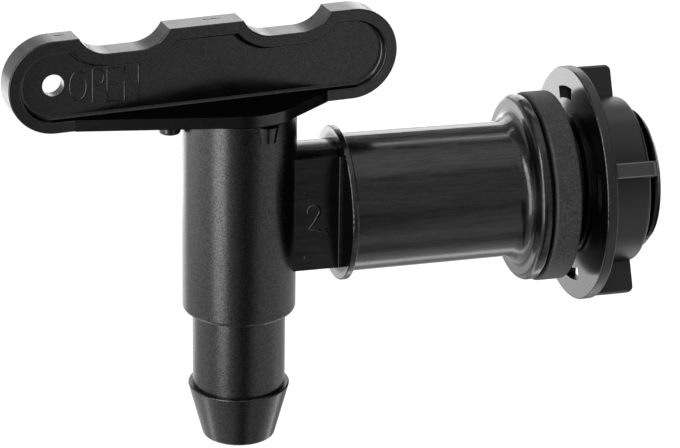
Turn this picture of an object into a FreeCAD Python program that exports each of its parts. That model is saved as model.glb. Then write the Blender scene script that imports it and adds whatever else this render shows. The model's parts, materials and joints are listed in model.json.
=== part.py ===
"""Quarter-turn tap for a rain barrel: moulded body, T handle with a hollow plug, washer and wing nut.

Millimetres, +Z up. The origin is on the arm's axis in the washer's outer face, which bears on the
rain barrel's wall. +X runs along the arm into the rain barrel, so the tap's own upright axis is at -reach.
"""
import FreeCAD, Part
import math
import os

V = FreeCAD.Vector

# Arm, from the tap's axis to the tail that goes through the rain barrel's wall
reach = 60.75            # tap axis to the washer's outer face
thread_r = 13.22         # 3/4 inch pipe thread, 26.44 across its crests
thread_depth = 1.16      # the tail is solid to the thread's root
inlet_r = 10.4
tail_length = 17.4       # beyond the washer's outer face
tail_edge = 0.4          # chamfer of its end
neck_r = 12.15
neck_thickness = 10.4    # between the neck's two flats
neck_length = 17.9       # tap axis to the collar
collar_r = 14.45
collar_thickness = 1.25
tube_r_near = 12.95      # the tube is drafted towards the shoulder
tube_r_far = 12.75
shoulder_r = 17.55
shoulder_thickness = 2.1
shoulder_round = 1.15
shoulder_fillet = 2.5    # hollow corner where the tube meets its face
register_r = 16.4        # low step that carries the washer
register_height = 0.75
arm_edge = 0.3
neck_fillet = 0.35

# Washer
washer_r = 17.85
washer_thickness = 4.9
washer_edge = 0.45
washer_clearance = 0.15  # around the thread

# Nut
wall_gap = 3.4           # room for the rain barrel's wall
thread_clearance = 0.06  # radial, tail to nut
nut_flange_r = 22.15
nut_flange_thickness = 2.0
nut_flange_edge = 0.3
hub_length = 8.9
hub_r_near = 16.2
hub_r_far = 15.6
hub_edge = 0.8
wing_count = 4
wing_angle = 64.5        # first wing, measured about +X from +Y
wing_thickness = 2.75
wing_length = 8.1
wing_r = 21.75
wing_round = 1.2
window_r_in = 16.2
window_r_out = 18.5
window_sweep = 23.0      # degrees, from the middle of its wing

# Barrel and hose tail
barrel_r = 10.57
barrel_top = 19.9
barrel_bottom = -19.15
barrel_edge = 0.8
bore_r = 8.25
floor_thickness = 2.9
spigot_r = 8.68
throat_r = 6.3
barb_r = 9.6
barb_z = -34.35
barb_edge = 0.25
tip_r = 6.75
tip_z = -45.05
tip_edge = 0.7
outlet_r = 5.2
outlet_length = 8.0
port_width = 6.6
port_height = 14.0
lead_in = 0.4

# Stops: two bosses on the barrel and one lug under the handle
boss_angle = 286.2       # the front boss, which stops the closed handle
boss_offset = 10.3       # its centre from the tap's axis
boss_r_top = 2.1
boss_r_bottom = 1.5
boss_height = 3.1
lug_offset = 12.9
lug_r = 2.0
lug_depth = 4.1
lug_edge = 0.6
stop_clearance = 0.3
quarter_turn = 90.0

# Handle
handle_set = 6.7         # degrees that the bar stands off the arm when it is open
handle_clearance = 0.3   # base flange above the barrel's top
bar_centre = -7.1        # middle of the bar, measured from the tap's axis
bar_half = 36.95
bar_height = 17.2
bar_thickness = 5.35
bar_edge = 0.3           # rounding of its outer edges
web_thickness = 2.2
rim = 2.3                # border around the recess in each face
recess_fillet = 0.7      # hollow corner where the border meets the web
notch_margin = 13.15     # from the bar's end to the outer edge of its finger notch
notch_inner = 7.05       # from the bar's middle to the inner edge
notch_depth = 3.33
notch_slope = 62.0       # degrees where the notch meets the top
eye_r = 2.0
base_r = 11.4
base_thickness = 2.15
base_tip_ahead = 16.2    # from the tap's axis to where the base runs out into the bar, towards the arm
base_tip_behind = 32.0   # and the other way

# Plug, in one piece with the handle
plug_clearance = 0.1     # radial, in the barrel's bore
plug_wall = 2.5
plug_end_gap = 0.3       # above the barrel's floor
crown = 3.7              # solid top of the plug, below the base
bead_height = 1.4
bead_rise = 0.55         # snap bead beyond the plug's wall
bead_land = 0.4          # width of its crest
bead_depth = 2.8         # its middle, below the barrel's top
bead_clearance = 0.2
seal_section = 1.3       # O rings and port seal
seal_height = 11.2       # O rings above and below the arm's axis
seal_slack = 0.03
port_seal_margin = 1.2   # seal's inner edge outside the port's outline

# Derived places
base_bottom = barrel_top + handle_clearance
base_top = base_bottom + base_thickness
bar_top = base_bottom + bar_height
notch_outer = bar_half - notch_margin
plug_r = bore_r - plug_clearance
root_r = thread_r - thread_depth
core_r = plug_r - plug_wall
plug_bottom = barrel_bottom + floor_thickness + plug_end_gap
bead_z = barrel_top - bead_depth
groove_r = bore_r - seal_slack - seal_section
flange_face = -washer_thickness
nut_face = wall_gap
nut_back = nut_face + nut_flange_thickness
near = 1e-4              # two places closer than this are one


def straight(start, end):
    return Part.LineSegment(start, end).toShape()


def outline(corners, place):
    """Closed wire through corners (u, v, radius), each rounded by its radius; place(u, v) gives the point."""
    points = [V(u, v, 0) for u, v, radius in corners]
    arcs = []
    for i, corner in enumerate(points):
        radius = corners[i][2]
        back = (points[i - 1] - corner).normalize()
        ahead = (points[(i + 1) % len(points)] - corner).normalize()
        half = back.getAngle(ahead) / 2
        cut = radius / math.tan(half)
        crest = corner + (back + ahead).normalize() * (radius / math.sin(half) - radius)
        arcs.append((corner + back * cut, crest, corner + ahead * cut))
    edges = []
    for i, (start, crest, end) in enumerate(arcs):
        last = arcs[i - 1][2]
        if last.distanceToPoint(start) > near:
            edges.append(straight(place(last.x, last.y), place(start.x, start.y)))
        if start.distanceToPoint(end) > near:
            edges.append(Part.Arc(*[place(p.x, p.y) for p in (start, crest, end)]).toShape())
    return Part.Wire(edges)


def turned_upright(corners):
    """Solid of revolution about the tap's axis from corners (r, z, radius)."""
    face = Part.Face(outline(corners, lambda r, z: V(r - reach, 0, z)))
    return face.revolve(V(-reach, 0, 0), V(0, 0, 1), 360)


def turned_along_arm(corners):
    """Solid of revolution about the arm's axis from corners (x, r, radius)."""
    face = Part.Face(outline(corners, lambda x, r: V(x, 0, r)))
    return face.revolve(V(0, 0, 0), V(1, 0, 0), 360)


def upright(r, low, high, offset=0.0, angle=0.0):
    """Cylinder parallel to the tap's axis, offset from it at an angle in degrees."""
    turn = math.radians(angle)
    foot = V(offset * math.cos(turn) - reach, offset * math.sin(turn), low)
    return Part.makeCylinder(r, high - low, foot)


def slot(width, height, start, end):
    """Upright slot with round ends, running along X between two places measured from the tap's axis."""
    rise = (height - width) / 2
    x = start - reach
    block = Part.makeBox(end - start, width, 2 * rise, V(x, -width / 2, -rise))
    ends = [Part.makeCylinder(width / 2, end - start, V(x, 0, z), V(1, 0, 0)) for z in (-rise, rise)]
    return block.fuse(ends)


def rounded(shape, radius, wanted):
    """Fillets the edges that wanted(edge) picks."""
    return shape.makeFillet(radius, [edge for edge in shape.Edges if wanted(edge)])


def barrel_and_tail():
    return turned_upright([
        (0, barrel_top, 0), (barrel_r, barrel_top, barrel_edge / 2),
        (barrel_r, barrel_bottom, barrel_edge), (spigot_r, barrel_bottom, 0),
        (spigot_r, barb_z, 0), (barb_r, barb_z, barb_edge), (tip_r, tip_z, tip_edge), (0, tip_z, 0)])


def barrel_bore():
    floor = barrel_bottom + floor_thickness
    groove = bore_r + bead_rise - plug_clearance + bead_clearance
    half_groove = bead_height / 2 + bead_clearance
    outlet_top = tip_z + outlet_length
    return turned_upright([
        (0, barrel_top, 0), (bore_r + lead_in, barrel_top, 0), (bore_r, barrel_top - lead_in, 0),
        (bore_r, bead_z + half_groove, 0), (groove, bead_z + half_groove, 0),
        (groove, bead_z - half_groove, 0), (bore_r, bead_z - half_groove, 0),
        (bore_r, floor, 0), (throat_r, floor, 0), (throat_r, barb_z, 0),
        (outlet_r, outlet_top, 0), (outlet_r, tip_z, 0), (0, tip_z, 0)])


def neck():
    """Round neck with two flats."""
    round_bar = Part.makeCylinder(neck_r, neck_length, V(-reach, 0, 0), V(1, 0, 0))
    corner = V(-reach, -neck_thickness / 2, -neck_r)
    between_flats = Part.makeBox(neck_length, neck_thickness, 2 * neck_r, corner)
    return round_bar.common(between_flats)


def arm():
    """Collar, tube, shoulder and tail; the tail is the thread's root cylinder."""
    collar = neck_length - reach
    tube = collar + collar_thickness
    shoulder = flange_face - register_height - shoulder_thickness
    rim_end = flange_face - register_height
    return turned_along_arm([
        (collar, 0, 0), (collar, collar_r, arm_edge), (tube, collar_r, arm_edge), (tube, tube_r_near, 0),
        (shoulder, tube_r_far, shoulder_fillet), (shoulder, shoulder_r, shoulder_round),
        (rim_end, shoulder_r, arm_edge), (rim_end, register_r, 0), (flange_face, register_r, 0),
        (flange_face, root_r, 0), (tail_length - tail_edge, root_r, 0), (tail_length, root_r - tail_edge, 0),
        (tail_length, 0, 0)])


def stop_boss(angle):
    """Corbel on the barrel, wide at its top."""
    turn = math.radians(angle)
    x, y = boss_offset * math.cos(turn) - reach, boss_offset * math.sin(turn)
    return Part.makeCone(boss_r_bottom, boss_r_top, boss_height, V(x, y, barrel_top - boss_height))


def stop_angle():
    """Angle between a boss and the lug when they meet, less their clearance."""
    apart = boss_r_top + lug_r + stop_clearance
    cosine = (boss_offset ** 2 + lug_offset ** 2 - apart ** 2) / (2 * boss_offset * lug_offset)
    return math.degrees(math.acos(cosine))


def open_lug_angle():
    return boss_angle - stop_angle() - quarter_turn


def tap_body():
    bosses = [stop_boss(boss_angle), stop_boss(open_lug_angle() - stop_angle())]
    shell = barrel_and_tail().fuse([neck(), arm()] + bosses)
    shell = rounded(shell.removeSplitter(), neck_fillet, on_collar_flat)
    inlet_start = neck_length + collar_thickness
    foot = V(inlet_start - reach, 0, 0)
    inlet = Part.makeCylinder(inlet_r, tail_length - foot.x, foot, V(1, 0, 0))
    port = slot(port_width, port_height, 0, inlet_start)
    return shell.cut([barrel_bore(), inlet, port])


def on_collar_flat(edge):
    """True for the two straight edges where the neck's flats meet the collar."""
    collar = neck_length - reach
    ends = [vertex.Point for vertex in edge.Vertexes]
    on_collar = all(abs(p.x - collar) < near for p in ends)
    on_flat = all(abs(abs(p.y) - neck_thickness / 2) < near for p in ends)
    return len(ends) == 2 and on_collar and on_flat


def bar_side(bottom, front):
    """Face with the bar's outline down to a given bottom, in a plane along the bar."""
    slope = math.radians(notch_slope)
    run = notch_depth / math.tan(slope)
    notch_r = notch_depth / (1 - math.cos(slope))
    end_r = (bar_top - bottom) / 2
    floor = bar_top - notch_depth
    right = [(notch_inner, bar_top, 0), (notch_inner + run, floor, notch_r),
             (notch_outer - run, floor, notch_r), (notch_outer, bar_top, 0),
             (bar_half, bar_top, end_r), (bar_half, bottom, end_r)]
    left = [(-x, z, r) for x, z, r in reversed(right)]
    return Part.Face(outline(right + left, lambda x, z: V(x + bar_centre - reach, front, z)))


def rounded_at(shape, radius, faces):
    """Rounds the edges that lie in the planes y = each of faces."""
    def wanted(edge):
        ends = [vertex.Point.y for vertex in edge.Vertexes]
        return any(all(abs(y - face) < near for y in ends) for face in faces)
    return rounded(shape, radius, wanted)


def recess(floor, depth):
    """Room cut from one side of the bar down to its web, leaving the rim; flush with the base's top."""
    room = bar_side(base_top - rim, floor).makeOffset2D(-rim)
    return rounded_at(room.extrude(V(0, depth, 0)), recess_fillet, [floor])


def bar():
    """T bar of H section: a web with a border standing out on both faces, and an eye at one end."""
    face, web = bar_thickness / 2, web_thickness / 2
    slab = bar_side(base_bottom, -face).extrude(V(0, bar_thickness, 0))
    slab = slab.cut([recess(-web, web - face), recess(web, face - web)])
    slab = rounded_at(slab, bar_edge, [-face, face])
    eye_x = bar_centre - bar_half + bar_height / 2 - reach
    eye = Part.makeCylinder(eye_r, bar_thickness, V(eye_x, -face, base_bottom + bar_height / 2), V(0, 1, 0))
    return slab.cut(eye)


def base():
    """Flange over the barrel: a disc whose edges run straight out to the bar's faces."""
    half = bar_thickness / 2
    tips = [(base_tip_ahead, -half), (base_tip_ahead, half),
            (-base_tip_behind, half), (-base_tip_behind, -half)]
    touch = []
    for x, y in tips:
        away = math.acos(base_r / math.hypot(x, y))
        angle = math.atan2(y, x) + math.copysign(away, x * y)
        touch.append((base_r * math.cos(angle), base_r * math.sin(angle)))
    tips, touch = [[V(x - reach, y, base_bottom) for x, y in places] for places in (tips, touch)]
    back, front = [V(-reach, y, base_bottom) for y in (base_r, -base_r)]
    wire = Part.Wire([
        straight(tips[0], tips[1]), straight(tips[1], touch[1]), Part.Arc(touch[1], back, touch[2]).toShape(),
        straight(touch[2], tips[2]), straight(tips[2], tips[3]), straight(tips[3], touch[3]),
        Part.Arc(touch[3], front, touch[0]).toShape(), straight(touch[0], tips[0])])
    return Part.Face(wire).extrude(V(0, 0, base_thickness))


def plug():
    """Hollow plug, open below, with grooves for its two O rings and a snap bead near the top."""
    core_top = base_bottom - crown
    crest_r = plug_r + bead_rise
    corners = [(0, core_top, 0), (0, base_bottom, 0), (plug_r, base_bottom, 0)]
    corners += [(plug_r, bead_z + bead_height / 2, 0), (crest_r, bead_z + bead_land / 2, 0),
                (crest_r, bead_z - bead_land / 2, 0), (plug_r, bead_z - bead_height / 2, 0)]
    for z in (seal_height, -seal_height):
        half = seal_section / 2 + seal_slack
        corners += [(plug_r, z + half, 0), (groove_r, z + half, 0),
                    (groove_r, z - half, 0), (plug_r, z - half, 0)]
    corners += [(plug_r, plug_bottom, 0), (core_r, plug_bottom, 0), (core_r, core_top, 0)]
    return turned_upright(corners)


def port_ring(slack):
    """Oblong ring that closes the port, lying on the plug's wall and facing along +X."""
    inner = 2 * port_seal_margin
    outer = inner + 2 * seal_section
    ring = slot(port_width + outer + slack, port_height + outer + slack, 0, bore_r)
    return ring.cut(slot(port_width + inner - slack, port_height + inner - slack, 0, bore_r))


def seal_band(r_in, r_out):
    """Cylindrical shell about the tap's axis, as tall as the port seal needs."""
    return upright(r_out, -port_height, port_height).cut(upright(r_in, -port_height, port_height))


def lug():
    """Stop lug under the base, rounded at its foot."""
    foot = base_bottom - lug_depth
    pin = upright(lug_r, foot, base_top, lug_offset, open_lug_angle() - handle_set)
    return rounded(pin, lug_edge, lambda edge: abs(edge.CenterOfMass.z - foot) < near)


def handle():
    """Bar, base, lug and plug in one moulding, along the arm before it is turned to where it is set."""
    solid = bar().fuse([base(), plug(), lug()]).removeSplitter()
    water_way = slot(port_width, port_height, 0, bore_r)
    groove = turned_about_tap(port_ring(seal_slack).common(seal_band(groove_r, bore_r)), -quarter_turn)
    return solid.cut([water_way, groove])


def turned_about_tap(shape, degrees):
    turned = shape.copy()
    turned.rotate(V(-reach, 0, 0), V(0, 0, 1), degrees)
    return turned


def o_ring(z):
    r = seal_section / 2
    return Part.makeTorus(groove_r + r, r, V(-reach, 0, z))


def port_seal():
    seal = port_ring(-seal_slack).common(seal_band(groove_r, groove_r + seal_section))
    return turned_about_tap(seal, -quarter_turn)


def seal_washer():
    r_in = thread_r + washer_clearance
    return turned_along_arm([
        (flange_face, r_in, 0), (flange_face, washer_r, washer_edge),
        (0, washer_r, washer_edge), (0, r_in, 0)])


def wing():
    """One wing, standing along +Y from the hub, its outer corner rounded."""
    start = nut_face + nut_flange_thickness / 2
    end = nut_back + wing_length
    root = hub_r_far - hub_edge
    corners = [(start, root, 0), (start, wing_r, 0), (end, wing_r, wing_round), (end, root, 0)]
    wire = outline(corners, lambda x, y: V(x, y, -wing_thickness / 2))
    return Part.Face(wire).extrude(V(0, 0, wing_thickness))


def window():
    """Opening through the nut's flange beside a wing, from the wing's middle round to one side."""
    face = V(nut_face, 0, 0)
    sector = Part.makeCylinder(window_r_out, nut_flange_thickness, face, V(1, 0, 0), window_sweep)
    hub = Part.makeCylinder(window_r_in, nut_flange_thickness, face, V(1, 0, 0))
    return around_arm(sector, -quarter_turn).cut(hub)


def around_arm(shape, degrees):
    turned = shape.copy()
    turned.rotate(V(0, 0, 0), V(1, 0, 0), degrees)
    return turned


def back_nut():
    hub_end = nut_back + hub_length
    shell = turned_along_arm([
        (nut_face, 0, 0), (nut_face, nut_flange_r, nut_flange_edge),
        (nut_back, nut_flange_r, nut_flange_edge), (nut_back, hub_r_near, 0),
        (hub_end, hub_r_far, hub_edge), (hub_end, 0, 0)])
    angles = [wing_angle + 360 / wing_count * i for i in range(wing_count)]
    shell = shell.fuse([around_arm(wing(), angle) for angle in angles])
    bore = Part.makeCylinder(root_r + thread_clearance, hub_end, V(0, 0, 0), V(1, 0, 0))
    return shell.cut([bore] + [around_arm(window(), angle) for angle in angles])


def write(name, shape):
    shape = shape.removeSplitter()
    print(name, "solids", len(shape.Solids), "valid", shape.isValid(), "volume", round(shape.Volume, 1))
    solid = shape.Solids[0] if len(shape.Solids) == 1 else shape
    solid.exportStep("parts/" + name + ".step")


def main():
    os.makedirs("parts", exist_ok=True)
    write("tap_body", tap_body())
    write("handle", turned_about_tap(handle(), handle_set))
    write("upper_o_ring", o_ring(seal_height))
    write("lower_o_ring", o_ring(-seal_height))
    write("port_seal", turned_about_tap(port_seal(), handle_set))
    write("seal_washer", seal_washer())
    write("back_nut", back_nut())


main()
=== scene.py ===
"""Looks of the rain barrel tap: black moulded plastic, a rubber washer and a plain white studio.

Metres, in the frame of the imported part: +X runs along the arm into the rain barrel, +Z up the tap's axis.
"""
import json
import math

import bpy
from mathutils import Matrix, Vector

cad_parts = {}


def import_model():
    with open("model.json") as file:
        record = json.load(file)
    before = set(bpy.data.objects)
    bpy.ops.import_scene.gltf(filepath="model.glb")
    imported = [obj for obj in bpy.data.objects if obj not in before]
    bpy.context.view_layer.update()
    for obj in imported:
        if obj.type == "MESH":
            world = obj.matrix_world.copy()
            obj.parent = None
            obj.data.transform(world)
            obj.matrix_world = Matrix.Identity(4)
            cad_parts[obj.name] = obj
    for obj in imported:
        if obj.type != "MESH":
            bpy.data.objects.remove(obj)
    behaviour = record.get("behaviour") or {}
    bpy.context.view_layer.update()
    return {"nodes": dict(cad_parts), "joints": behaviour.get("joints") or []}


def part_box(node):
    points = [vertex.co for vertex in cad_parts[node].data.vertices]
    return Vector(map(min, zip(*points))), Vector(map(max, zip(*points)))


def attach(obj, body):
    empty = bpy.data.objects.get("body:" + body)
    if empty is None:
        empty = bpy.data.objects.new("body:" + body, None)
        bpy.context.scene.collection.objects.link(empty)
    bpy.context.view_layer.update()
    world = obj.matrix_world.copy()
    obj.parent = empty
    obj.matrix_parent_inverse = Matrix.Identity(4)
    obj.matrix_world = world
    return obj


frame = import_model()
nodes = frame["nodes"]

mm = 0.001

# The photograph's camera
image_width = 680
image_height = 448
sensor_width = 36.0
focal_px = 3047.3
principal_px = (302.6, 243.6)
crossing_px = (239.1, 210.4)
crossing_depth = 562.4 * mm
view_azimuth = math.radians(-14.63)
view_elevation = math.radians(22.07)
view_roll = math.radians(0.633)
clip_near = 0.01
clip_far = 50.0

# The tap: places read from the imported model
handle_joint = next(joint for joint in frame["joints"] if joint["name"] == "handle_turn")
crossing = Vector(handle_joint["pos_m"])     # where the tap's axis meets the arm's axis
bar_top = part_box("handle")[1].z
washer_thickness = -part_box("seal_washer")[0].x
nut_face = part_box("back_nut")[0].x
nut_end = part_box("back_nut")[1].x
tail_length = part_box("tap_body")[1].x        # from the washer's outer face

# And sizes, as in its CAD model
handle_set = math.radians(6.7)
bar_bottom = 20.2 * mm
base_top = 22.35 * mm            # of the flange under the bar
web_thickness = 2.2 * mm
barrel_r = 10.57 * mm
neck_r = 12.15 * mm
neck_thickness = 10.4 * mm
collar_face = -42.85 * mm        # the collar's side towards the tap
shoulder_face = -7.75 * mm
shoulder_r = 17.55 * mm
groove_start = -5.65 * mm        # the shoulder's flat end, where the groove beside the washer starts
register_r = 16.4 * mm           # the bottom of that groove
nut_flange_thickness = 2.0 * mm
wing_r = 21.75 * mm
wing_angle = math.radians(64.5)  # of the first wing, about +X from +Y
wing_thickness = 2.75 * mm
wing_end = 13.5 * mm             # along X
thread_r = 13.22 * mm            # the thread's crests, on the tail's root cylinder
thread_depth = 1.16 * mm
thread_pitch = 1.814 * mm
thread_foot = 0.45 * thread_pitch        # half the ridge's width at its foot
thread_crest = 0.16 * thread_pitch       # and at its crest
thread_sink = 0.1 * mm           # of its foot in the root cylinder
thread_clear = 0.04 * mm         # between its ends and the nut
thread_steps = 60                # in one turn

# Small marks
stroke_r = 0.24 * mm             # raised strokes of the lettering
stroke_sink = 0.1 * mm           # their centre below the face
number_r = 0.32 * mm             # the cavity number's strokes are broader
number_sink = 0.17 * mm
flash_r = 0.34 * mm
flash_sink = 0.1 * mm
slits = ((-7.1 * mm, -3.4 * mm), (-34.9 * mm, -32.7 * mm))   # along the bar's top, from the tap's axis
slit_aside = 0.6 * mm
slit_width = (0.08 * mm, 0.2 * mm)       # half of it, at the bottom and at the top
slit_top = (-0.1 * mm, -0.02 * mm)       # up from the bar's top, where the slits start to show
slit_taper = 0.3 * mm                    # at each end
slit_depth = 0.15 * mm

# Places of painted shade, and of the wings' lighter ends with painted highlight, each by distances from the
# face or radius that it is named after
collar_band = (-0.12 * mm, 0.04 * mm)    # along X, from the collar's face
collar_soft = 0.06 * mm
collar_fade = (0.3 * mm, 1.5 * mm)       # outwards from the neck
collar_shade = (0.9, 0.15)                # at the neck and further out
collar_lean = (0.15, 0.06)               # how far the painted shade reaches out more at the front and at the top
corner_band = (-0.35 * mm, 0.25 * mm)    # along X, from the shoulder's face
corner_ring = (-3.0 * mm, -0.85 * mm)    # outwards from the shoulder's rim
corner_soft = 0.3 * mm
corner_shade = 0.85
groove_soft = 0.03 * mm
groove_fade = (0.05 * mm, 1.0 * mm)      # outwards from the register
tail_fade = (-0.2 * mm, 0.2 * mm)        # along X, from the nut's end
tail_shade = 0.9
base_band = (-0.05 * mm, 0.05 * mm)      # upwards from the base's top
base_soft = 0.1 * mm
base_upward = (0.7, 0.9)                 # upward part of the surface's direction
# The nut's wings: lighter ends, with painted highlight along their edges and rounded corners
tip_fade = (-0.5 * mm, -0.1 * mm)        # outwards from the wings' ends
side_fade = (-0.3 * mm, -0.1 * mm)       # from a wing's side
side_highlight = 0.6
wing_corner_fade = (-1.0 * mm, -0.4 * mm)    # along X, from the wings' end

# Looks that the plastics share
plastic_ior = 1.49
plastic_shades = (0.0008, 0.002)
fine_spread = (0.35, 0.65)       # most of a fine noise lies between these
cloudy_spread = (0.3, 0.7)       # and most of a cloudy one between these
bump_depth = 0.02 * mm
finish_edge = (0.1 * mm, 0.3 * mm)       # how far past an edge one finish turns into the next
matt_grain = 0.3 * mm            # of the handle and the nut
matt_cloud = 6.0 * mm
matt_bump = 0.3

# Looks of the body: the spark-eroded barrel and the smooth arm
spark_grain = 0.2 * mm
spark_cell = 0.26 * mm
spark_roughness = (0.2, 0.33)
spark_sheen = (0.38, 0.63)
spark_bump = (0.05, 0.6)         # on the arm and on the barrel
cell_spread = (0.1, 0.9)
cell_share = 0.5                 # of the cells in the grain
body_cloud = 4.0 * mm
flow_grain = 0.5 * mm
flow_squeeze = 0.08              # along X, so that the flow lines are long
flow_roughness = (0.15, 0.25)
flow_sheen = (0.37, 0.63)
flow_spread = (0.75, 1.25)       # of the flow lines and the grain added up
flow_bump = (0.22, 0.0)          # on the arm and on the barrel
wave_length = 2.6 * mm           # slow unevenness of the moulded faces
wave_bump = 0.25
# Reflection left where painted shade dims the hollows and the tail past the nut
shaded_sheen = 0.1

# Looks of the handle
handle_roughness = (0.2, 0.27)
handle_sheen = (0.39, 0.61)
slit_bump = 0.8

# Looks of the nut
nut_roughness = (0.36, 0.44)
face_roughness = 0.17            # of the flange's turned face
ring_pitch = 0.75 * mm
ring_depth = 0.012 * mm
ring_bump = 0.3
tip_highlight_shades = (0.026, 0.16)    # lighter grey of the wings' ends, and painted highlight on the ends' edges

# Looks of the rubber
rubber_grain = 0.4 * mm
rubber_cloud = 5.0 * mm
rubber_shades = (0.009, 0.034)
rubber_roughness = (0.62, 0.72)
rubber_bump = 0.35
dust_spread = (0.55, 0.85)       # of the fine noise and a share of the cloudy one added up
dust_cloud_share = 0.4

# The studio
lamp_aim = (-0.045, 0, 0)
soft_boxes = (           # name, place, width, height and radiance
    ("key", (-0.277, -0.169, 0.05), 0.13, 0.42, 5.7),
    ("above_key", (-0.285, -0.18, 0.32), 0.11, 0.16, 5.7),
    ("left", (-0.45, 0.06, -0.07), 0.45, 0.17, 1.3),
    ("rear", (-0.10, 0.42, -0.10), 0.5, 0.12, 2.2),
    ("top", (0.05, -0.15, 1.0), 0.9, 0.9, 0.6),
    ("strip", (0.166, 0.495, 0.72), 1.2, 0.06, 5.0),
    ("back", (0.19, 0.90, 0.23), 1.2, 0.36, 1.9),
    ("rear_low", (-0.08, 0.28, -0.13), 0.3, 0.06, 0.7),
    ("under", (-0.045, 0.045, -0.165), 0.5, 0.03, 2.2))
room_level = 0.6         # how bright reflections see the room above and in front
high_level = 0.3         # the wall above the backdrop
dark_level = 0.1         # and the dark side, past the nut
backdrop_top = (0.2, 0.45)       # upward part of a direction where the backdrop ends
backdrop_start = (-0.1, 0.4)     # part along Y where it takes over from the room
dark_start = (0.45, 0.75)        # part along X where the dark side starts
ambient_strength = 0.45
floor_z = -0.17
floor_reach = 6.0
floor_grey = 0.86
seen_grey = 0.25         # of the floor that the camera sees, which also glows
seen_glow = 0.86
table_levels = (         # the table around the tap: degrees from the front towards +X, and brightness there
    (-180, 1.0), (-110, 1.0), (-75, 0.9), (-30, 0.6), (-12, 0.2), (-2, 0.04), (8, 0.08), (15, 0.2),
    (22, 0.6), (31, 0.85), (45, 1.0), (72, 1.0), (90, 1.0), (115, 0.8), (150, 0.8), (180, 1.0))
near_levels = (          # the table under the arm: place along Y, and brightness there
    (-0.25, 0.62), (-0.20, 0.9), (-0.125, 0.9), (-0.09, 0.45), (-0.06, 0.45), (-0.02, 0.9), (0.02, 0.95),
    (0.09, 0.6), (0.12, 0.3), (0.25, 0.8))
near_from = (-0.03, -0.01)       # along X, where the near table takes over
near_reach = (0.238, 0.28)       # from the tap's axis, where it ends


def camera():
    """Camera whose view of the tap matches the photograph's."""
    right_level = Vector((math.cos(view_azimuth), math.sin(view_azimuth), 0))
    back = Vector((math.sin(view_azimuth) * math.cos(view_elevation),
                   -math.cos(view_azimuth) * math.cos(view_elevation), math.sin(view_elevation)))
    up_level = back.cross(right_level)
    right = right_level * math.cos(view_roll) + up_level * math.sin(view_roll)
    up = up_level * math.cos(view_roll) - right_level * math.sin(view_roll)
    aside = (crossing_px[0] - principal_px[0]) / focal_px * crossing_depth
    above = (principal_px[1] - crossing_px[1]) / focal_px * crossing_depth
    place = crossing + back * crossing_depth - right * aside - up * above
    data = bpy.data.cameras.new("camera")
    data.sensor_width = sensor_width
    data.lens = focal_px / image_width * sensor_width
    data.shift_x = (image_width / 2 - principal_px[0]) / image_width
    data.shift_y = (principal_px[1] - image_height / 2) / image_width
    data.clip_start = clip_near
    data.clip_end = clip_far
    obj = bpy.data.objects.new("camera", data)
    bpy.context.scene.collection.objects.link(obj)
    turn = Matrix((right, up, back)).transposed().to_4x4()
    obj.matrix_world = Matrix.Translation(place) @ turn
    bpy.context.scene.camera = obj


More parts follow.
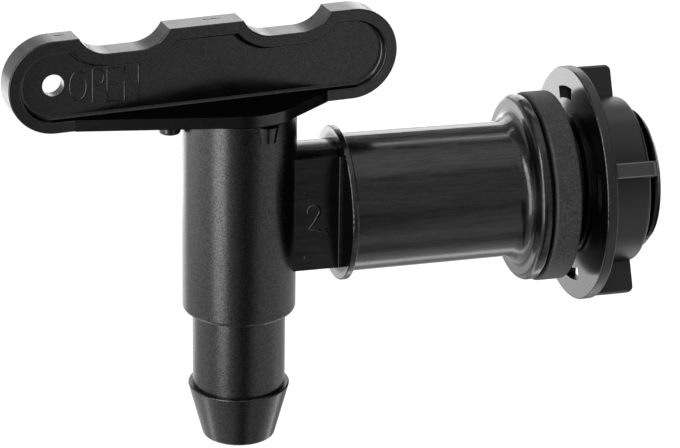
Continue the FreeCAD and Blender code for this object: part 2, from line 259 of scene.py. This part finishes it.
class Tree:
    """Short calls for building one node tree."""

    def __init__(self, tree):
        self.tree = tree
        self.tree.nodes.clear()

    def add(self, kind, **settings):
        made = self.tree.nodes.new(kind)
        for name, value in settings.items():
            setattr(made, name, value)
        return made

    def feed(self, socket, value):
        """Links value to socket if it is a socket, and sets it otherwise."""
        if isinstance(value, bpy.types.NodeSocket):
            self.tree.links.new(value, socket)
        else:
            socket.default_value = value

    def coordinates(self, kind):
        return self.add("ShaderNodeTexCoord").outputs[kind]

    def parts(self, vector):
        """The vector's parts along X, Y and Z."""
        made = self.add("ShaderNodeSeparateXYZ")
        self.feed(made.inputs[0], vector)
        return made.outputs

    def math(self, operation, first, second=0.0):
        made = self.add("ShaderNodeMath", operation=operation)
        self.feed(made.inputs[0], first)
        self.feed(made.inputs[1], second)
        return made.outputs[0]

    def plus(self, first, second):
        return self.math("ADD", first, second)

    def minus(self, first, second):
        return self.math("SUBTRACT", first, second)

    def times(self, first, second):
        return self.math("MULTIPLY", first, second)

    def larger(self, first, second):
        return self.math("MAXIMUM", first, second)

    def distance(self, first, second):
        """Length of the vector with these two parts."""
        squares = self.plus(self.math("POWER", first, 2.0), self.math("POWER", second, 2.0))
        return self.math("SQRT", squares)

    def turned(self, first, second, angle):
        """Places along and beside a line that stands at angle from the first axis towards the second."""
        along = self.plus(self.times(first, math.cos(angle)), self.times(second, math.sin(angle)))
        beside = self.minus(self.times(second, math.cos(angle)), self.times(first, math.sin(angle)))
        return along, beside

    def ramp(self, value, low, high, to_low=0.0, to_high=1.0):
        """Smooth step from to_low at low to to_high at high."""
        made = self.add("ShaderNodeMapRange", interpolation_type="SMOOTHSTEP")
        for name, given in (("Value", value), ("From Min", low), ("From Max", high),
                            ("To Min", to_low), ("To Max", to_high)):
            self.feed(made.inputs[name], given)
        return made.outputs[0]

    def fall(self, value, low, high):
        """Smooth step down from one at low to zero at high."""
        return self.ramp(value, low, high, 1.0, 0.0)

    def between(self, value, low, high, soft):
        """One where value is between low and high, falling to zero over soft on both sides."""
        return self.times(self.ramp(value, low - soft, low), self.fall(value, high, high + soft))

    def near(self, value, edge, band, soft):
        """One in the band, two distances from edge, falling to zero over soft on both sides."""
        return self.between(value, edge + band[0], edge + band[1], soft)

    def beyond(self, value, edge, fade=finish_edge, most=1.0):
        """Zero before edge and most past it; fade holds two distances from edge."""
        return self.ramp(value, edge + fade[0], edge + fade[1], 0.0, most)

    def before(self, value, edge, fade=finish_edge):
        """One before edge and zero past it; fade holds two distances from edge."""
        return self.fall(value, edge + fade[0], edge + fade[1])

    def noise(self, place, grain, detail=2.0, roughness=0.5):
        """Noise whose features are about grain metres across."""
        made = self.add("ShaderNodeTexNoise")
        self.feed(made.inputs["Vector"], place)
        self.feed(made.inputs["Scale"], 1 / grain)
        self.feed(made.inputs["Detail"], detail)
        self.feed(made.inputs["Roughness"], roughness)
        return made.outputs["Fac"]

    def cells(self, place, size):
        """Cells about size metres across: a random colour for each, and the distance from its middle."""
        made = self.add("ShaderNodeTexVoronoi")
        self.feed(made.inputs["Vector"], place)
        self.feed(made.inputs["Scale"], 1 / size)
        return made.outputs["Color"], made.outputs["Distance"]

    def mix(self, share, first, second):
        """Colour between first and second."""
        made = self.add("ShaderNodeMix", data_type="RGBA")
        self.feed(made.inputs[0], share)
        self.feed(made.inputs[6], first)
        self.feed(made.inputs[7], second)
        return made.outputs[2]

    def shade(self, share, levels):
        """Grey between the two levels."""
        return self.mix(share, grey(levels[0]), grey(levels[1]))

    def blend(self, share, first, second):
        """Number between first and second."""
        made = self.add("ShaderNodeMix", data_type="FLOAT")
        self.feed(made.inputs[0], share)
        self.feed(made.inputs[2], first)
        self.feed(made.inputs[3], second)
        return made.outputs[0]

    def bump(self, height, depth, strength, after=None):
        made = self.add("ShaderNodeBump")
        self.feed(made.inputs["Height"], height)
        self.feed(made.inputs["Distance"], depth)
        self.feed(made.inputs["Strength"], strength)
        if after is not None:
            self.feed(made.inputs["Normal"], after)
        return made.outputs[0]

    def glow(self, kind, colour, strength):
        made = self.add(kind)
        self.feed(made.inputs["Color"], colour)
        self.feed(made.inputs["Strength"], strength)
        return made.outputs[0]

    def diffuse(self, colour):
        made = self.add("ShaderNodeBsdfDiffuse")
        self.feed(made.inputs["Color"], colour)
        return made.outputs[0]

    def choice(self, share, first, second):
        """Shader between first and second."""
        made = self.add("ShaderNodeMixShader")
        for i, given in enumerate((share, first, second)):
            self.feed(made.inputs[i], given)
        return made.outputs[0]


def grey(level):
    return (level, level, level, 1.0)


def surface(name, build):
    """Material whose look build(tree, shader, place, axes) makes; place is the point in the part's frame."""
    made = bpy.data.materials.new(name)
    made.use_nodes = True
    tree = Tree(made.node_tree)
    shader = tree.add("ShaderNodeBsdfPrincipled")
    out = tree.add("ShaderNodeOutputMaterial")
    place = tree.coordinates("Object")
    build(tree, shader, place, tree.parts(place))
    tree.feed(out.inputs["Surface"], shader.outputs[0])
    return made


def radius_about_tap(tree, axes):
    """Distance from the tap's upright axis."""
    return tree.distance(tree.minus(axes[0], crossing.x), axes[1])


def radius_about_arm(tree, axes):
    """Distance from the arm's axis."""
    return tree.distance(axes[1], axes[2])


def along_x(tree, place, share):
    """Place squeezed along X, so that noise on it runs in streaks along the arm."""
    made = tree.add("ShaderNodeMapping")
    tree.feed(made.inputs["Vector"], place)
    made.inputs["Scale"].default_value = (share, 1.0, 1.0)
    return made.outputs[0]


def collar_shade_mask(tree, axes):
    """Painted shade on the collar's face beside the neck, most of all above it and at the front: high where
    it takes the reflection away.
    """
    on_face = tree.near(axes[0], collar_face, collar_band, collar_soft)
    lean = tree.minus(tree.times(axes[1], collar_lean[0]), tree.times(axes[2], collar_lean[1]))
    reach = tree.plus(radius_about_arm(tree, axes), lean)
    near_neck = tree.ramp(reach, neck_r + collar_fade[0], neck_r + collar_fade[1], *collar_shade)
    return tree.times(near_neck, on_face)


def hollow_shade_mask(tree, axes):
    """High where painted shade dims the arm's reflection: the shoulder's hollow corner, the washer's groove,
    and past the nut.
    """
    radius = radius_about_arm(tree, axes)
    corner_along = tree.near(axes[0], shoulder_face, corner_band, corner_soft)
    corner_around = tree.near(radius, shoulder_r, corner_ring, corner_soft)
    corner = tree.times(tree.times(corner_along, corner_around), corner_shade)
    groove_along = tree.between(axes[0], groove_start, -washer_thickness, groove_soft)
    groove = tree.times(groove_along, tree.before(radius, register_r, groove_fade))
    shade_past_nut = tree.beyond(axes[0], nut_end, tail_fade, tail_shade)
    return tree.larger(tree.larger(corner, groove), shade_past_nut)


def body_look(tree, shader, place, axes):
    """Spark-eroded barrel, and a smoother, glossier arm with faint flow lines."""
    textured = tree.before(radius_about_tap(tree, axes), barrel_r)
    fine = tree.noise(place, spark_grain, roughness=0.65)
    cloudy = tree.noise(place, body_cloud, detail=3.0)
    flow = tree.noise(along_x(tree, place, flow_squeeze), flow_grain, detail=3.0, roughness=0.6)
    wave = tree.noise(place, wave_length, detail=1.0)
    cell_colour, cell_distance = tree.cells(place, spark_cell)
    tree.feed(shader.inputs["Base Color"], tree.shade(cloudy, plastic_shades))
    arm_roughness = tree.ramp(flow, *cloudy_spread, *flow_roughness)
    barrel_roughness = tree.ramp(fine, *fine_spread, *spark_roughness)
    tree.feed(shader.inputs["Roughness"], tree.blend(textured, arm_roughness, barrel_roughness))
    speckled = tree.ramp(cell_colour, *cell_spread, *spark_sheen)
    streaked = tree.ramp(tree.plus(flow, fine), *flow_spread, *flow_sheen)
    # Painted shade: the reflection is taken away on the collar's face beside the neck, and dimmed in the
    # hollows and on the tail past the nut
    sheen = tree.blend(collar_shade_mask(tree, axes), tree.blend(textured, streaked, speckled), 0.0)
    tree.feed(shader.inputs["Specular IOR Level"], tree.blend(hollow_shade_mask(tree, axes), sheen, shaded_sheen))
    grain = tree.plus(fine, tree.times(cell_distance, cell_share))
    normal = tree.bump(grain, bump_depth, tree.blend(textured, *spark_bump))
    normal = tree.bump(flow, bump_depth, tree.blend(textured, *flow_bump), normal)
    normal = tree.bump(wave, bump_depth, wave_bump, normal)
    tree.feed(shader.inputs["Normal"], normal)
    shader.inputs["IOR"].default_value = plastic_ior


def slit_mask(tree, axes):
    """One in the two fine slits on top of the bar: they are bumped in, and painted shade takes the
    reflection away inside them.
    """
    along, beside = tree.turned(tree.minus(axes[0], crossing.x), axes[1], handle_set)
    off_line = tree.math("ABSOLUTE", tree.minus(beside, slit_aside))
    on_top = tree.beyond(axes[2], bar_top, slit_top)
    within = 0.0
    for start, end in slits:
        opened = tree.ramp(along, start, start + slit_taper)
        closed = tree.fall(along, end - slit_taper, end)
        within = tree.larger(tree.times(opened, closed), within)
    return tree.times(tree.times(tree.fall(off_line, *slit_width), on_top), within)


def base_shade_mask(tree, axes):
    """One on the upper face of the flange under the bar, where painted shade takes the reflection away."""
    level = tree.near(axes[2], base_top, base_band, base_soft)
    upward = tree.parts(tree.coordinates("Normal"))[2]
    return tree.times(level, tree.ramp(upward, *base_upward))


def handle_look(tree, shader, place, axes):
    """Finely grained plastic with two slits on the bar's top; painted shade takes the reflection away inside
    the slits and on the base's top.
    """
    fine = tree.noise(place, matt_grain, roughness=0.6)
    cloudy = tree.noise(place, matt_cloud, detail=3.0)
    slit = slit_mask(tree, axes)
    # Painted shade: no reflection in the slits and on the base's top
    painted_shade = tree.larger(slit, base_shade_mask(tree, axes))
    tree.feed(shader.inputs["Base Color"], tree.shade(cloudy, plastic_shades))
    tree.feed(shader.inputs["Roughness"], tree.ramp(cloudy, *cloudy_spread, *handle_roughness))
    sheen = tree.ramp(fine, *fine_spread, *handle_sheen)
    tree.feed(shader.inputs["Specular IOR Level"], tree.blend(painted_shade, sheen, 0.0))
    grained = tree.bump(fine, bump_depth, matt_bump)
    tree.feed(shader.inputs["Normal"], tree.bump(tree.minus(1.0, slit), slit_depth, slit_bump, grained))
    shader.inputs["IOR"].default_value = plastic_ior


def wing_edge_highlight(tree, axes):
    """Where the painted highlight goes: high along the edges and at the rounded corner of each wing; all
    wings stand at right angles.
    """
    first, second = tree.turned(axes[1], axes[2], wing_angle)
    aside = tree.math("MINIMUM", tree.math("ABSOLUTE", first), tree.math("ABSOLUTE", second))
    side = tree.beyond(aside, wing_thickness / 2, side_fade, side_highlight)
    corner = tree.beyond(axes[0], wing_end, wing_corner_fade)
    return tree.larger(side, corner)


def nut_look(tree, shader, place, axes):
    """Matt plastic; the flange's face is smoother, with turned rings, and the wings' ends are lighter, with
    a painted highlight along their edges.
    """
    fine = tree.noise(place, matt_grain, roughness=0.6)
    cloudy = tree.noise(place, matt_cloud, detail=3.0)
    radius = radius_about_arm(tree, axes)
    rings = tree.math("SINE", tree.times(radius, 2 * math.pi / ring_pitch))
    on_face = tree.before(axes[0], nut_face)
    on_wing = tree.beyond(axes[0], nut_face + nut_flange_thickness)
    tip = tree.times(on_wing, tree.beyond(radius, wing_r, tip_fade))
    # Painted highlight along the wings' edges and rounded corners, on their lighter ends
    tip_highlight = tree.shade(wing_edge_highlight(tree, axes), tip_highlight_shades)
    tree.feed(shader.inputs["Base Color"], tree.mix(tip, tree.shade(cloudy, plastic_shades), tip_highlight))
    matt = tree.ramp(cloudy, *cloudy_spread, *nut_roughness)
    tree.feed(shader.inputs["Roughness"], tree.blend(on_face, matt, face_roughness))
    ringed = tree.bump(rings, ring_depth, tree.times(on_face, ring_bump))
    tree.feed(shader.inputs["Normal"], tree.bump(fine, bump_depth, matt_bump, ringed))
    shader.inputs["IOR"].default_value = plastic_ior


def rubber_look(tree, shader, place, axes):
    """Dull rubber with a dusty grain."""
    fine = tree.noise(place, rubber_grain, detail=3.0, roughness=0.6)
    cloudy = tree.noise(place, rubber_cloud, detail=3.0)
    dusty = tree.ramp(tree.plus(fine, tree.times(cloudy, dust_cloud_share)), *dust_spread)
    tree.feed(shader.inputs["Base Color"], tree.shade(dusty, rubber_shades))
    tree.feed(shader.inputs["Roughness"], tree.ramp(cloudy, *cloudy_spread, *rubber_roughness))
    tree.feed(shader.inputs["Normal"], tree.bump(fine, bump_depth, rubber_bump))


def arc(centre, half_width, half_height, start, end, count):
    """Points along part of an ellipse, from one angle in degrees to another."""
    points = []
    for i in range(count):
        angle = math.radians(start + (end - start) * i / (count - 1))
        points.append((centre[0] + half_width * math.cos(angle), centre[1] + half_height * math.sin(angle)))
    return points


def raised(name, strokes, radius, place, body, material):
    """Rounded raised strokes, in mm; place(across, up) gives the point of a stroke in the part's frame."""
    data = bpy.data.curves.new(name, "CURVE")
    data.dimensions = "3D"
    data.bevel_depth = radius
    data.bevel_resolution = 2
    data.use_fill_caps = True
    for stroke in strokes:
        spline = data.splines.new("POLY")
        spline.points.add(len(stroke) - 1)
        for point, (across, up) in zip(spline.points, stroke):
            point.co = (*place(across * mm, up * mm), 1.0)
    data.materials.append(material)
    obj = bpy.data.objects.new(name, data)
    bpy.context.scene.collection.objects.link(obj)
    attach(obj, body)


def on_bar(across, forward, up):
    """Point by its distance along the bar from the tap's axis and its distance in front of that line."""
    along = Vector((math.cos(handle_set), math.sin(handle_set), 0))
    front = Vector((math.sin(handle_set), -math.cos(handle_set), 0))
    return Vector((crossing.x, 0, up)) + along * across + front * forward


def on_web(across, up):
    """Point just under the web's front face."""
    return on_bar(across, web_thickness / 2 - stroke_sink, up)


def on_foot(across, forward):
    """Point just inside the bottom of the bar."""
    return on_bar(across, forward, bar_bottom + flash_sink)


def on_neck(across, up):
    """Point just under the neck's front flat."""
    return Vector((crossing.x + across, -neck_thickness / 2 + number_sink, up))


def flash(material):
    """Speck of flash under the bar's end."""
    raised("flash", [[(-28.2, 2.2), (-26.9, 2.1)]], flash_r, on_foot, "handle", material)


def word(material):
    """The word OPEN on the handle's web."""
    bowl = arc((-27.0, 29.4), 1.0, 1.4, 90, -90, 9)
    strokes = [
        arc((-30.8, 28.15), 1.55, 2.7, 90, 450, 25),
        [(-28.1, 24.9), (-28.1, 30.8)] + bowl + [(-28.1, 28.0)],
        [(-23.1, 30.7), (-25.4, 30.7), (-25.4, 24.7), (-23.0, 24.7)],
        [(-25.4, 27.9), (-23.3, 27.9)],
        [(-22.2, 24.5), (-22.2, 30.9), (-19.5, 24.6), (-19.5, 31.0)]]
    raised("open_word", strokes, stroke_r, on_web, "handle", material)


def cavity_number(material):
    """The figure 2 and three specks on the neck's front."""
    hook = arc((12.9, 0.55), 1.15, 1.2, 190, -35, 11)
    strokes = [
        hook + [(12.9, -1.7), (11.65, -3.25), (12.3, -3.05), (13.4, -3.0), (14.5, -3.45)],
        [(11.3, 4.6), (11.3, 4.1), (11.7, 3.7)],
        [(15.2, -3.1), (15.5, -4.0)],
        [(11.4, -8.1), (11.35, -8.6)]]
    raised("cavity_number", strokes, number_r, on_neck, "body", material)


def thread(name, low, high, material):
    """Helical ridge on the tail between two places along X, lower towards the tail's end."""
    foot_r = thread_r - thread_depth - thread_sink
    section = [(-thread_foot, foot_r), (-thread_crest, thread_r),
               (thread_crest, thread_r), (thread_foot, foot_r)]
    sides = len(section)
    count = int(((high - low) / thread_pitch + 1) * thread_steps)
    corners = []
    for i in range(count + 1):
        angle = 2 * math.pi * i / thread_steps
        middle = low + thread_pitch * (i / thread_steps - 0.5)
        for aside, r in section:
            x = min(max(middle + aside, low), high)
            r = min(r, thread_r - max(0.0, x - (tail_length - thread_depth)))
            corners.append((x, r * math.cos(angle), -r * math.sin(angle)))
    faces = []
    for i in range(count):
        here = sides * i
        ahead = here + sides
        for j in range(sides):
            after = (j + 1) % sides
            faces.append((here + j, ahead + j, ahead + after, here + after))
    faces.append(tuple(reversed(range(sides))))
    faces.append(tuple(sides * count + j for j in range(sides)))
    data = bpy.data.meshes.new(name)
    data.from_pydata(corners, [], faces)
    data.materials.append(material)
    obj = bpy.data.objects.new(name, data)
    bpy.context.scene.collection.objects.link(obj)
    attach(obj, "body")


def threads(material):
    """The tail's thread where it stands clear of the nut: in the wall's gap and past the hub."""
    thread("thread_in_gap", -washer_thickness / 2, nut_face - thread_clear, material)
    thread("thread_at_end", nut_end + thread_clear, tail_length - thread_clear, material)


def paint(names, material):
    """Gives these CAD nodes the material."""
    for name in names:
        slots = nodes[name].data.materials
        slots.clear()
        slots.append(material)


def lamp(name, place, width, height, radiance):
    """Soft box at a place, facing the tap, of the given radiance."""
    data = bpy.data.lights.new(name, "AREA")
    data.shape = "RECTANGLE"
    data.size = width
    data.size_y = height
    data.energy = radiance * math.pi * width * height
    obj = bpy.data.objects.new(name, data)
    bpy.context.scene.collection.objects.link(obj)
    obj.location = place
    obj.rotation_euler = (Vector(place) - Vector(lamp_aim)).to_track_quat("Z", "Y").to_euler()
    obj.visible_camera = False


def seen_white(tree, plain, white):
    """Shader that is white to the camera and through glass, and plain to other light."""
    path = tree.add("ShaderNodeLightPath")
    seen = tree.larger(path.outputs["Is Camera Ray"], path.outputs["Is Transmission Ray"])
    return tree.choice(seen, plain, white)


def mirrored_or_lit(tree, lit, mirrored):
    """Shader that reflections see as mirrored, and that lights the tap as lit."""
    return tree.choice(tree.add("ShaderNodeLightPath").outputs["Is Glossy Ray"], lit, mirrored)


def world():
    """White behind the tap, as a lit backdrop is, and dimmer in front of it and above."""
    made = bpy.data.worlds.new("studio")
    made.use_nodes = True
    tree = Tree(made.node_tree)
    across, along, up = tree.parts(tree.coordinates("Generated"))
    backdrop = tree.ramp(up, *backdrop_top, 1.0, high_level)
    level = tree.blend(tree.ramp(along, *backdrop_start), room_level, backdrop)
    level = tree.blend(tree.ramp(across, *dark_start), level, dark_level)
    mirrored = tree.glow("ShaderNodeBackground", tree.shade(level, (0.0, 1.0)), 1.0)
    ambient = tree.glow("ShaderNodeBackground", grey(1.0), ambient_strength)
    white = tree.glow("ShaderNodeBackground", grey(1.0), 1.0)
    out = tree.add("ShaderNodeOutputWorld")
    tree.feed(out.inputs["Surface"], seen_white(tree, mirrored_or_lit(tree, ambient, mirrored), white))
    bpy.context.scene.world = made


def stepped(tree, value, levels):
    """Brightness read from levels, pairs of a place and the brightness there, in rising order of place."""
    low = levels[0][0]
    width = levels[-1][0] - low
    stops = tree.add("ShaderNodeValToRGB")
    tree.feed(stops.inputs[0], tree.math("DIVIDE", tree.minus(value, low), width))
    elements = stops.color_ramp.elements
    while len(elements) < len(levels):
        elements.new(0.5)        # each gets its own place below
    for element, (at, level) in zip(elements, levels):
        element.position = (at - low) / width
        element.color = grey(level)
    return stops.outputs["Color"]


def mirrored_table(tree, axes):
    """How bright reflections see the table: by the angle about the tap, and in bands under the arm."""
    across = tree.minus(axes[0], crossing.x)
    toward = tree.times(axes[1], -1.0)
    angle = tree.math("DEGREES", tree.math("ARCTAN2", across, toward))
    around = stepped(tree, angle, table_levels)
    below = stepped(tree, axes[1], near_levels)
    near = tree.times(tree.fall(radius_about_tap(tree, axes), *near_reach), tree.ramp(axes[0], *near_from))
    return tree.mix(near, around, below)


def floor_material():
    """White to the camera, a pale table to plain light, and banded to reflections."""
    made = bpy.data.materials.new("floor")
    made.use_nodes = True
    tree = Tree(made.node_tree)
    axes = tree.parts(tree.coordinates("Object"))
    mirrored = tree.glow("ShaderNodeEmission", mirrored_table(tree, axes), 1.0)
    lit = mirrored_or_lit(tree, tree.diffuse(grey(floor_grey)), mirrored)
    white = tree.add("ShaderNodeAddShader")
    tree.feed(white.inputs[0], tree.diffuse(grey(seen_grey)))
    tree.feed(white.inputs[1], tree.glow("ShaderNodeEmission", grey(1.0), seen_glow))
    out = tree.add("ShaderNodeOutputMaterial")
    tree.feed(out.inputs["Surface"], seen_white(tree, lit, white.outputs[0]))
    return made


def floor():
    """Table far below the tap."""
    data = bpy.data.meshes.new("floor")
    signs = ((-1, -1), (1, -1), (1, 1), (-1, 1))
    data.from_pydata([(x * floor_reach, y * floor_reach, floor_z) for x, y in signs], [], [(0, 1, 2, 3)])
    obj = bpy.data.objects.new("floor", data)
    bpy.context.scene.collection.objects.link(obj)
    data.materials.append(floor_material())


camera()
world()
floor()
for soft_box in soft_boxes:
    lamp(*soft_box)
body_plastic = surface("body_plastic", body_look)
handle_plastic = surface("handle_plastic", handle_look)
paint(["tap_body"], body_plastic)
paint(["handle"], handle_plastic)
paint(["back_nut"], surface("nut_plastic", nut_look))
paint(["seal_washer", "upper_o_ring", "lower_o_ring", "port_seal"], surface("rubber", rubber_look))
word(handle_plastic)
cavity_number(body_plastic)
flash(handle_plastic)
threads(body_plastic)

bpy.context.scene.view_settings.view_transform = "Standard"
